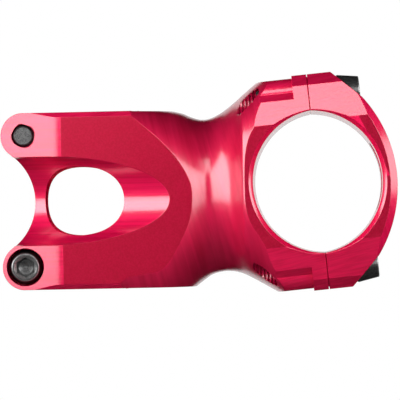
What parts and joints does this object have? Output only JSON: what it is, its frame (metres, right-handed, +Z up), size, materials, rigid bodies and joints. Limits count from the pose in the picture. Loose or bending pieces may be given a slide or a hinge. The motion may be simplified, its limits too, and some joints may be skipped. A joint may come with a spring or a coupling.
{
  "type": "handlebar stem",
  "caption": "Short threadless bicycle stem machined from one billet, with a slotted steerer clamp, open side windows and a bolted handlebar faceplate.",
  "frame": {"origin": "on the steerer axis, in the plane of the steerer clamp's lower face", "axes": "+X forward to the handlebar, +Y to the rider's left, +Z up the steerer"},
  "size_m": [0.0883, 0.05, 0.0488],
  "materials": {
    "anodised": "red anodised, satin with fine milling marks",
    "bolt": "black oxide",
    "washer": "plain"
  },
  "bodies": {
    "stem": {"stem_body": "anodised"},
    "faceplate": {"faceplate": "anodised", "faceplate_washer_upper_left": "washer", "faceplate_washer_upper_right": "washer", "faceplate_washer_lower_left": "washer", "faceplate_washer_lower_right": "washer"},
    "faceplate_bolt_upper_left": {"faceplate_bolt_upper_left": "bolt"},
    "faceplate_bolt_upper_right": {"faceplate_bolt_upper_right": "bolt"},
    "faceplate_bolt_lower_left": {"faceplate_bolt_lower_left": "bolt"},
    "faceplate_bolt_lower_right": {"faceplate_bolt_lower_right": "bolt"},
    "steerer_washer_upper": {"steerer_washer_upper": "washer"},
    "steerer_washer_lower": {"steerer_washer_lower": "washer"},
    "steerer_bolt_upper": {"steerer_bolt_upper": "bolt"},
    "steerer_bolt_lower": {"steerer_bolt_lower": "bolt"}
  },
  "joints": [
    {"name": "faceplate_slide", "type": "slide", "parent": "stem", "child": "faceplate", "axis": [0.9962, 0, 0.0872], "range_m": [0, 0.0116]},
    {"name": "faceplate_bolt_upper_left_turn", "type": "hinge", "parent": "faceplate", "child": "faceplate_bolt_upper_left", "pos_m": [0.0532, 0.0188, 0.04268], "axis": [0.9962, 0, 0.0872], "range_deg": [0, 5221]},
    {"name": "faceplate_bolt_upper_right_turn", "type": "hinge", "parent": "faceplate", "child": "faceplate_bolt_upper_right", "pos_m": [0.0532, -0.0188, 0.04268], "axis": [0.9962, 0, 0.0872], "range_deg": [0, 5221]},
    {"name": "faceplate_bolt_lower_left_turn", "type": "hinge", "parent": "faceplate", "child": "faceplate_bolt_lower_left", "pos_m": [0.05656, 0.0188, 0.00422], "axis": [0.9962, 0, 0.0872], "range_deg": [0, 5221]},
    {"name": "faceplate_bolt_lower_right_turn", "type": "hinge", "parent": "faceplate", "child": "faceplate_bolt_lower_right", "pos_m": [0.05656, -0.0188, 0.00422], "axis": [0.9962, 0, 0.0872], "range_deg": [0, 5221]},
    {"name": "steerer_washer_upper_slide", "type": "slide", "parent": "stem", "child": "steerer_washer_upper", "axis": [0, 1, 0], "range_m": [0, 0.014]},
    {"name": "steerer_bolt_upper_turn", "type": "hinge", "parent": "steerer_washer_upper", "child": "steerer_bolt_upper", "pos_m": [-0.0171, 0.0106, 0.03442], "axis": [0, 1, 0], "range_deg": [0, 6301]},
    {"name": "steerer_washer_lower_slide", "type": "slide", "parent": "stem", "child": "steerer_washer_lower", "axis": [0, -1, 0], "range_m": [0, 0.014]},
    {"name": "steerer_bolt_lower_turn", "type": "hinge", "parent": "steerer_washer_lower", "child": "steerer_bolt_lower", "pos_m": [-0.0171, -0.0106, 0.00508], "axis": [0, -1, 0], "range_deg": [0, 6301]}
  ],
  "couplings": [
    {"joint": "faceplate_bolt_upper_left_turn", "follows": "faceplate_slide", "rad_per_m": 7854},
    {"joint": "faceplate_bolt_upper_right_turn", "follows": "faceplate_slide", "rad_per_m": 7854},
    {"joint": "faceplate_bolt_lower_left_turn", "follows": "faceplate_slide", "rad_per_m": 7854},
    {"joint": "faceplate_bolt_lower_right_turn", "follows": "faceplate_slide", "rad_per_m": 7854},
    {"joint": "steerer_bolt_upper_turn", "follows": "steerer_washer_upper_slide", "rad_per_m": 7854},
    {"joint": "steerer_bolt_lower_turn", "follows": "steerer_washer_lower_slide", "rad_per_m": 7854}
  ]
}
